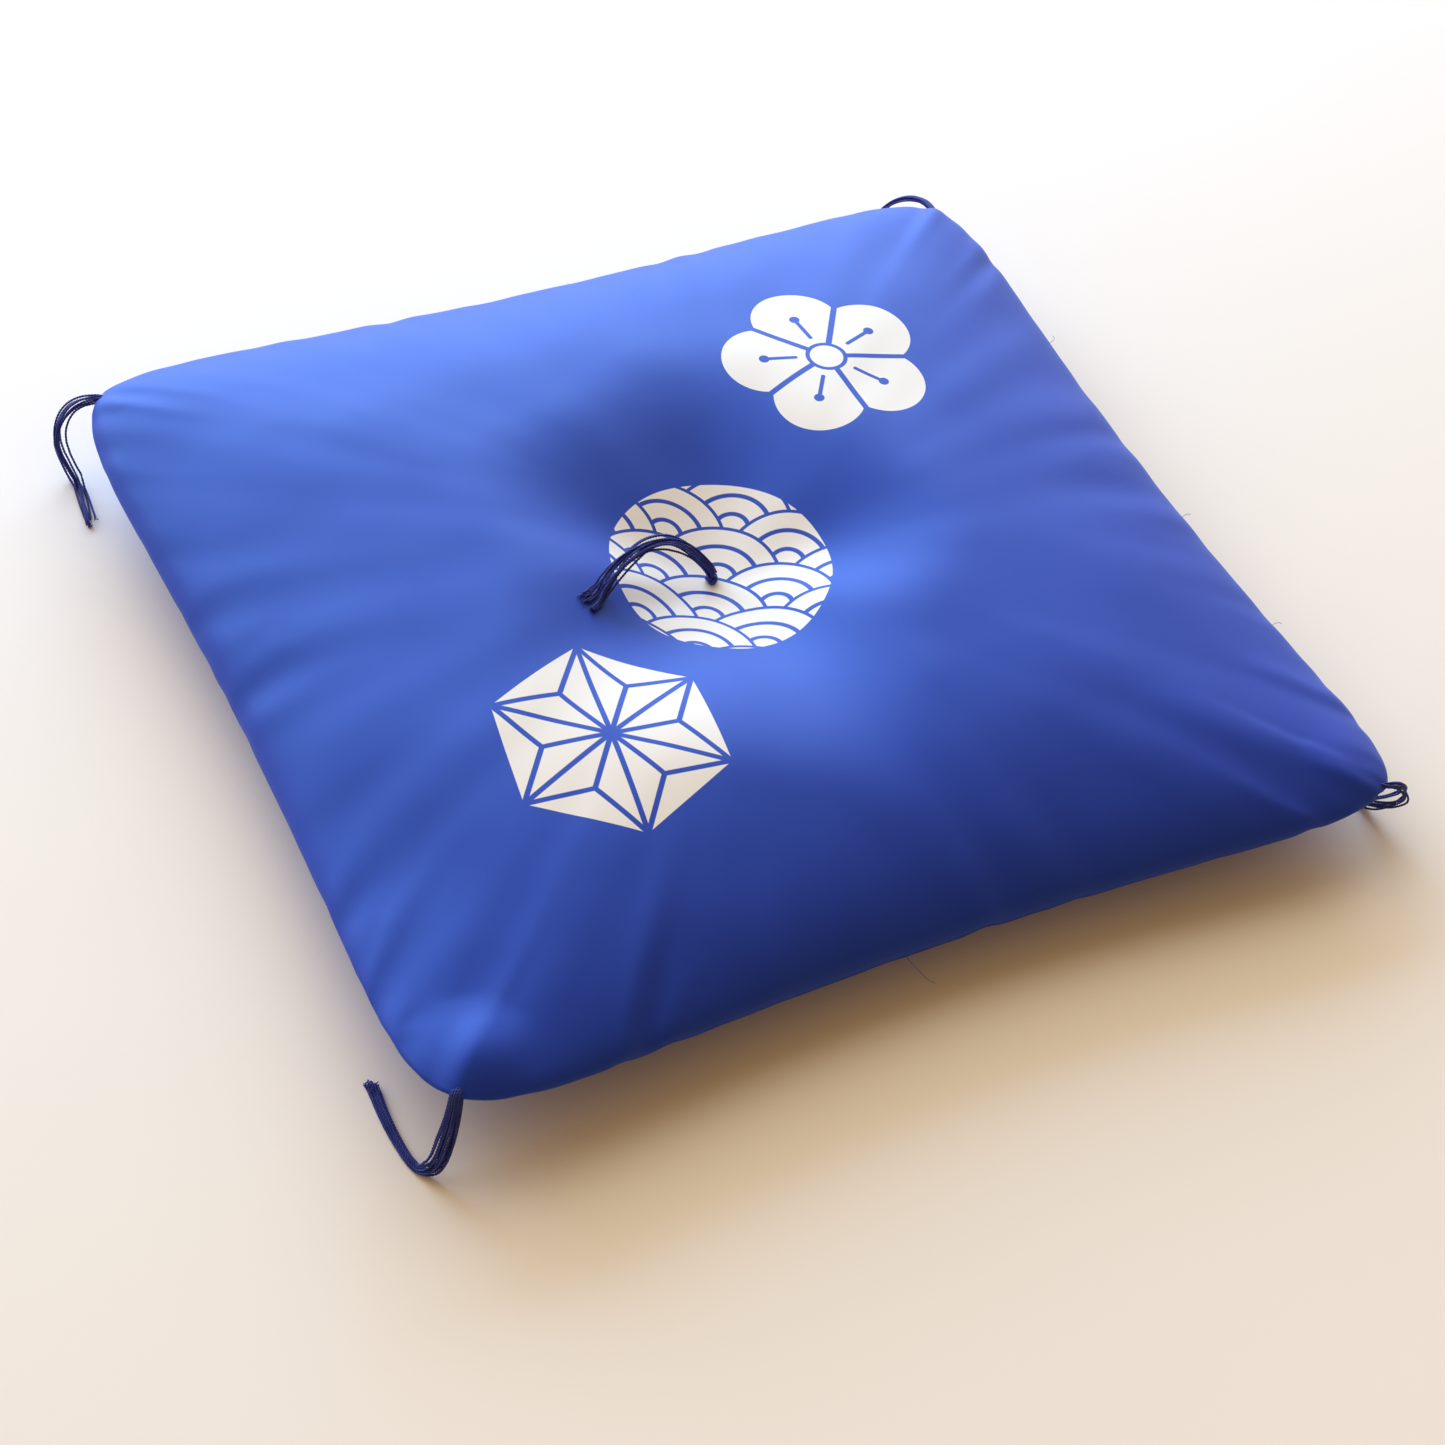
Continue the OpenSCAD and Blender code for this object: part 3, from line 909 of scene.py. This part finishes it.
def grid_faces(ids, flipped):
    """The four-sided faces of a grid of point numbers."""
    faces = np.stack([ids[:-1, :-1], ids[:-1, 1:], ids[1:, 1:], ids[1:, :-1]], axis=-1)
    faces = faces.reshape(-1, 4)
    return faces[:, ::-1] if flipped else faces


def hold_weights(points, top_ids, under_ids, tie_distance):
    """How firmly the wadding holds each point: all but fixed at the corners and the tie."""
    weights = np.full(len(points), HOLD["under"])
    weights[top_ids.ravel()] = HOLD["top"]
    rim = np.concatenate([top_ids[0], top_ids[-1], top_ids[:, 0], top_ids[:, -1]])
    weights[rim] = HOLD["seam"]
    weights[[top_ids[0, 0], top_ids[0, -1], top_ids[-1, 0], top_ids[-1, -1]]] = 1.0
    for ids in (top_ids, under_ids):
        weights[ids[tie_distance < 5 * MM]] = 1.0
    return weights


def cloth_object(start, cut, faces, weights):
    """The cushion's skin with its cut as a second shape, and a Cloth modifier to settle it."""
    mesh = bpy.data.meshes.new("skin")
    mesh.from_pydata(start.tolist(), [], faces.tolist())
    skin = bpy.data.objects.new("skin", mesh)
    bpy.context.scene.collection.objects.link(skin)
    skin.shape_key_add(name="start")
    cut_key = skin.shape_key_add(name="cut")
    cut_key.value = 0
    cut_key.data.foreach_set("co", cut.ravel())
    group = skin.vertex_groups.new(name="hold")
    for weight in np.unique(weights):
        group.add(np.where(weights == weight)[0].tolist(), float(weight), "REPLACE")
    # Cloth only reads its rest shape when some modifier that makes a new mesh comes first.
    first = skin.modifiers.new("first", "EDGE_SPLIT")
    first.use_edge_angle = False
    first.use_edge_sharp = False
    cloth = skin.modifiers.new("cloth", "CLOTH")
    feel = cloth.settings
    feel.rest_shape_key = cut_key
    feel.quality = 6
    feel.mass = 0.25
    feel.tension_stiffness = 40
    feel.compression_stiffness = 40
    feel.shear_stiffness = 5
    feel.bending_stiffness = 1
    feel.bending_damping = 0.5
    feel.vertex_group_mass = group.name
    feel.pin_stiffness = 1
    feel.effector_weights.gravity = 0
    cloth.collision_settings.use_collision = False
    cloth.point_cache.frame_start = 1
    cloth.point_cache.frame_end = SIM_FRAMES
    return skin


def settled(start, cut, faces, weights):
    """The skin's points after the cloth has settled, none further than the cap from its start."""
    skin = cloth_object(start, cut, faces, weights)
    scene = bpy.context.scene
    for step in range(1, SIM_FRAMES + 1):
        scene.frame_set(step)
    result = skin.evaluated_get(bpy.context.evaluated_depsgraph_get()).data
    points = np.empty(len(start) * 3)
    result.vertices.foreach_get("co", points)
    moved = points.reshape(-1, 3) - start
    far = np.linalg.norm(moved, axis=1, keepdims=True)
    scene.frame_set(1)
    bpy.data.objects.remove(skin)
    return start + moved * np.minimum(1, SIM_CAP / np.maximum(far, 1e-9))


def make_skins(grid):
    """The upper and lower skins as grids of points, settled by the cloth."""
    ripple = gathers(grid)
    pull_in = unit(np.stack([grid.x, grid.y], axis=-1)) * (
        np.abs(ripple) * 0.45 * grid.out ** 30)[..., None]
    plan = np.stack([grid.x, grid.y], axis=-1) - pull_in
    top = np.dstack([plan, grid.top_heights() + GATHER_START * ripple])
    under = np.dstack([plan, grid.under_heights() + GATHER_START * ripple * grid.out ** 12])
    lift = np.array([0, 0, 1.0]) * ripple[..., None]
    start, top_ids, under_ids = weld_panels(top, under)
    cut, _, _ = weld_panels(top + lift * (1 - GATHER_START), under + lift * 0.6)
    points = start
    faces = np.concatenate([grid_faces(top_ids, False), grid_faces(under_ids, True)])
    weights = hold_weights(start, top_ids, under_ids, grid.tie_distance)
    points = settled(start, cut, faces, weights)
    points[:, 2] = np.maximum(points[:, 2], 0.3 * MM)
    return points[top_ids], points[under_ids]


# ---- cushion: pieces

CLOTH_THICKNESS = 0.45 * MM
ALLOWANCE = 11 * MM
FOLD_IN = 1.3 * MM


def rim_order(shape):
    """The rim of a grid as row and column numbers, anticlockwise from its first corner."""
    rows, columns = shape
    first = [(0, c) for c in range(columns - 1)]
    second = [(r, columns - 1) for r in range(rows - 1)]
    third = [(rows - 1, c) for c in range(columns - 1, 0, -1)]
    fourth = [(r, 0) for r in range(rows - 1, 0, -1)]
    return first + second + third + fourth


def flat_coordinates(skin):
    """Each point's place in the flat cloth, measured along the rows and the columns."""
    rows, columns = skin.shape[:2]
    flat = np.zeros((rows, columns, 2))
    row_steps = np.linalg.norm(np.diff(skin, axis=1), axis=2)
    column_steps = np.linalg.norm(np.diff(skin, axis=0), axis=2)
    flat[:, 1:, 0] = np.cumsum(row_steps, axis=1)
    flat[1:, :, 1] = np.cumsum(column_steps, axis=0)
    middle_column = columns // 2
    middle_row = rows // 2
    flat[..., 0] += skin[:, middle_column, 0][:, None] - flat[:, middle_column, 0][:, None]
    flat[..., 1] += skin[middle_row, :, 1][None, :] - flat[middle_row, :, 1][None, :]
    return flat


def make_panel(name, node, skin, downward, material):
    """A cover panel: its skin, the fold at the seam, and the allowance turned inside."""
    rows, columns = skin.shape[:2]
    ids = np.arange(rows * columns).reshape(rows, columns)
    rim = rim_order((rows, columns))
    rim_ids = np.array([ids[r, c] for r, c in rim])
    edge = skin.reshape(-1, 3)[rim_ids]
    inward = unit((np.array([TIE.x, TIE.y, 0]) - edge) * np.array([1, 1, 0]))
    gap = -0.12 * MM if downward else 0.12 * MM
    points = [skin.reshape(-1, 3)]
    faces = grid_faces(ids, downward).tolist()
    flat = flat_coordinates(skin).reshape(-1, 2)
    flats = [flat]
    last = rim_ids
    for depth in (FOLD_IN, ALLOWANCE):
        ring = edge + inward * depth + np.array([0, 0, gap])
        flats.append(flat[rim_ids] - inward[:, :2] * depth)
        fresh = sum(len(group) for group in points) + np.arange(len(rim_ids))
        points.append(ring)
        for k in range(len(rim_ids)):
            after = (k + 1) % len(rim_ids)
            face = [last[k], fresh[k], fresh[after], last[after]]
            faces.append(face[::-1] if downward else face)
        last = fresh
    panel = link_mesh(name, np.concatenate(points), faces, material)
    lay_cloth_map(panel.data, np.concatenate(flats))
    shell = panel.modifiers.new("thickness", "SOLIDIFY")
    shell.thickness = CLOTH_THICKNESS
    shell.offset = -1
    smooth = panel.modifiers.new("smooth", "SUBSURF")
    smooth.levels = smooth.render_levels = 1
    smooth.uv_smooth = "PRESERVE_BOUNDARIES"
    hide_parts(node)
    return panel


def lay_cloth_map(mesh, flat):
    """Stores each point's flat cloth coordinates as the mesh's UV map."""
    layer = mesh.uv_layers.new(name=CLOTH_MAP)
    corners = np.empty(len(mesh.loops), int)
    mesh.loops.foreach_get("vertex_index", corners)
    layer.data.foreach_set("uv", flat[corners].ravel())


# Wadding: each layer's lowest and highest share of the room between the skins, and how far
# out it reaches.
LAYERS = {
    "wadding_lower": (0.0, 0.36, 0.93),
    "wadding_centre_pad": (0.40, 0.60, 0.62),
    "wadding_upper": (0.64, 1.0, 0.93),
}
WADDING_GAP = 1.6 * MM


def make_layer(node, top, under, grid, material):
    """A wadding layer between two shares of the room under the cover, with a tufted skin."""
    low, high, reach = LAYERS[node]
    keep_x = np.abs(crowded(CELLS_X)) < reach
    keep_y = np.abs(crowded(CELLS_Y)) < reach
    pick = np.ix_(np.where(keep_y)[0][::2], np.where(keep_x)[0][::2])
    ceiling = top[pick] - np.array([0, 0, WADDING_GAP])
    ground = under[pick] + np.array([0, 0, WADDING_GAP])
    room = ceiling - ground
    tufts = 0.035 * noise_grid(grid.x[pick], grid.y[pick], 9 * MM, 4.2 + low)[..., None]
    upper = ground + room * np.clip(high - 0.04 + tufts, 0, 1)
    lower = ground + room * np.clip(low + 0.04 + tufts, 0, 1)
    shape = upper.shape[:2]
    ids = np.arange(upper.size // 3).reshape(shape)
    offset = ids.size
    faces = grid_faces(ids, False).tolist() + grid_faces(ids + offset, True).tolist()
    rim = [ids[r, c] for r, c in rim_order(shape)]
    for here, after in zip(rim, rim[1:] + rim[:1]):
        faces.append([here, here + offset, after + offset, after])
    points = np.concatenate([upper.reshape(-1, 3), lower.reshape(-1, 3)])
    layer = link_mesh(node.replace("wadding", "cotton"), points, faces, material)
    smooth = layer.modifiers.new("smooth", "SUBSURF")
    smooth.levels = smooth.render_levels = 1
    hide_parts(node)


# ---- cushion: sewing

SEWING_R = 0.16 * MM
STITCH = 2.6 * MM
STITCH_INSET = 1.6 * MM
CLOSING_MIDDLE = 68 * MM
CLOSING_LENGTH = 100 * MM
CLOSING_COUNT = 13


def seam_path(skin, step, inset):
    """Even points along the settled seam, moved inwards by inset."""
    rim = np.array([skin[r, c] for r, c in rim_order(skin.shape[:2])])
    loop = np.concatenate([rim, rim[:1]])
    along = arc_lengths(loop)
    places = np.linspace(0, along[-1], round(along[-1] / step), endpoint=False)
    path = np.stack([np.interp(places, along, loop[:, k]) for k in range(3)], axis=1)
    inward = unit((np.array([TIE.x, TIE.y, 0]) - path) * np.array([1, 1, 0]))
    return path + inward * inset


def make_lockstitch(name, node, skin, above, material, ends=()):
    """One thread of the edge seam: a float on its own side of the cloth, then a dip into it."""
    per_stitch = 5
    path = seam_path(skin, STITCH / per_stitch, STITCH_INSET)
    phase = np.arange(len(path)) / per_stitch * TAU
    float_height = CLOTH_THICKNESS + 0.25 * MM
    height = float_height * (0.55 + 0.45 * np.cos(phase))
    path[:, 2] += height if above else -height
    strands = Strands()
    strands.tube(path, SEWING_R, sides=5, closed=True)
    for end in ends:
        strands.tube(smooth_path(end, 0.4 * MM), 0.75 * SEWING_R, sides=5)
    thread = strands.piece(name, material, "sewing_thread")
    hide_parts(node)


# Thread ends left at the seam: where they start on the rim, as a share of its length from
# the front left corner, and their points outwards, along the rim and up, in millimetres.
LOOSE_ENDS = (
    (0.365, ((-1, 0, 0), (1.5, 0.6, 1), (3.4, 0.2, 2.6), (4.6, -1.0, 3.4))),
    (0.322, ((-1, 0, 0), (1.2, -0.4, 1.4), (2.6, -1.6, 2.8), (2.9, -3.0, 3.0))),
    (0.438, ((-1, 0, 0), (2.0, 0.4, 0.8), (4.0, 1.6, 0.6), (5.6, 3.6, -0.6), (6.2, 6, -1.4))),
    (0.618, ((-1, 0, 0), (1.2, 0.2, 1.2), (1.9, 0.9, 2.6), (1.6, 2.0, 3.4))),
    (0.118, ((-1, 0, 0), (2.5, 1.0, -1.0), (5.5, 3.2, -3.5), (8.0, 6.5, -7.5), (9, 11, -12))),
)


def loose_ends(skin):
    """The loose thread ends as lists of points in the frame."""
    path = seam_path(skin, 1 * MM, 0)
    ends = []
    for share, steps in LOOSE_ENDS:
        k = int(share * len(path)) % len(path)
        here = path[k]
        forward = unit(path[(k + 1) % len(path)] - here)
        outward = np.cross(forward, (0, 0, 1))
        end = np.array([
            here + MM * (a * outward + b * forward + c * np.array([0, 0, 1]))
            for a, b, c in steps])
        end[:, 2] = np.maximum(end[:, 2], 2 * SEWING_R)
        ends.append(end)
    return ends


def make_closing(skin, material):
    """Slip stitches, set by hand, that close the stuffing gap in the right edge."""
    right = skin[:, -1]
    strands = Strands()
    rng = np.random.default_rng(7)
    for k in range(CLOSING_COUNT):
        y = CLOSING_MIDDLE + CLOSING_LENGTH * (k / (CLOSING_COUNT - 1) - 0.5)
        x = np.interp(y, right[:, 1], right[:, 0])
        z = np.interp(y, right[:, 1], right[:, 2])
        lean = 1.0 * MM + rng.uniform(-0.2, 0.2) * MM
        points = [
            (x - 1.2 * MM, y - lean, z - 1.1 * MM), (x - 0.05 * MM, y - lean * 0.8, z - 1.0 * MM),
            (x + 0.3 * MM, y, z), (x - 0.05 * MM, y + lean * 0.8, z + 1.0 * MM),
            (x - 1.2 * MM, y + lean, z + 1.1 * MM)]
        strands.tube(smooth_path(points, 0.25 * MM), 0.26 * MM, sides=7)
    stitches = strands.piece("slip_stitches", material, "sewing_thread")
    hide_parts("closing_stitches")


# ---- studio

def area_light(name, place, target, size, power, colour):
    """A rectangular soft light that faces a target."""
    data = bpy.data.lights.new(name, "AREA")
    data.shape = "RECTANGLE"
    data.size, data.size_y = size
    data.energy = power
    data.color = colour
    light = bpy.data.objects.new(name, data)
    bpy.context.scene.collection.objects.link(light)
    light.location = place
    aim = Vector(target) - Vector(place)
    light.rotation_euler = aim.to_track_quat("-Z", "Y").to_euler()


WINDOW_PLACE, WINDOW_TARGET, WINDOW_SIZE = (0.15, 2.05, 0.8), (0, 0, 0.02), (3.2, 0.9)
WINDOW_POWER, WINDOW_COLOUR = 91, (0.386, 0.663, 1.0)
# The room is bright behind the cushion and dim and warm on the camera's side. It turns from
# one to the other over this stretch of the backward direction.
ROOM_BACK = (2.35, 2.08, 1.7, 1)
ROOM_FRONT = (0.42, 0.25, 0.09, 1)
ROOM_TURN, ROOM_BLEND = 0.17, 0.45


def make_studio():
    """A pale floor, a wide low bluish light from behind, and a room bright only at the back."""
    bpy.ops.mesh.primitive_plane_add(size=8)
    floor = bpy.context.object
    floor.name = "studio_floor"
    floor.data.materials.append(pale_floor())
    area_light(
        "window", WINDOW_PLACE, WINDOW_TARGET, WINDOW_SIZE, WINDOW_POWER, WINDOW_COLOUR)
    world = bpy.data.worlds.new("studio")
    world.use_nodes = True
    tree = world.node_tree
    background = tree.nodes["Background"]
    direction = add_node(
        tree, "ShaderNodeSeparateXYZ", Vector=add_node(tree, "ShaderNodeTexCoord").outputs[0])
    backward = Field(tree, direction.outputs["Y"])
    lit = ((backward - ROOM_TURN) / ROOM_BLEND).most(0.0).least(1.0)
    put(tree, background.inputs["Color"], mixed(tree, lit, ROOM_FRONT, ROOM_BACK))
    scene = bpy.context.scene
    scene.world = world
    scene.view_settings.view_transform = "Standard"


# ---- assembly

def build():
    """Makes every piece of the cushion and the studio around it."""
    make_camera()
    navy = spun_thread("navy_tassel_thread", NAVY, NAVY_PALE_AND_HIGHLIGHT, 0.5)
    sewing = spun_thread("blue_sewing_thread", THREAD_BLUE, THREAD_BLUE_PALE_AND_HIGHLIGHT, 0.4)
    grid = Grid()
    top, under = make_skins(grid)
    top_panel = make_panel("cover_top", "top_cover", top, False, satin("printed_satin", True))
    make_panel("cover_bottom", "bottom_cover", under, True, satin("plain_satin", False))
    make_tassels(top_panel, navy)
    make_knot("tied_centre_knot", "centre_knot", navy)
    make_knot("tied_underside_knot", "underside_knot", navy)
    for corner in CORNERS:
        make_knot("tied_corner_knot_" + corner, "corner_knot_" + corner, navy)
    make_tie(navy)
    cotton = loose_cotton()
    for node in LAYERS:
        make_layer(node, top, under, grid, cotton)
    make_lockstitch(
        "needle_lockstitch", "seam_needle_thread", top, True, sewing, loose_ends(top))
    make_lockstitch("bobbin_lockstitch", "seam_bobbin_thread", top, False, sewing)
    make_closing(top, sewing)
    make_studio()


build()
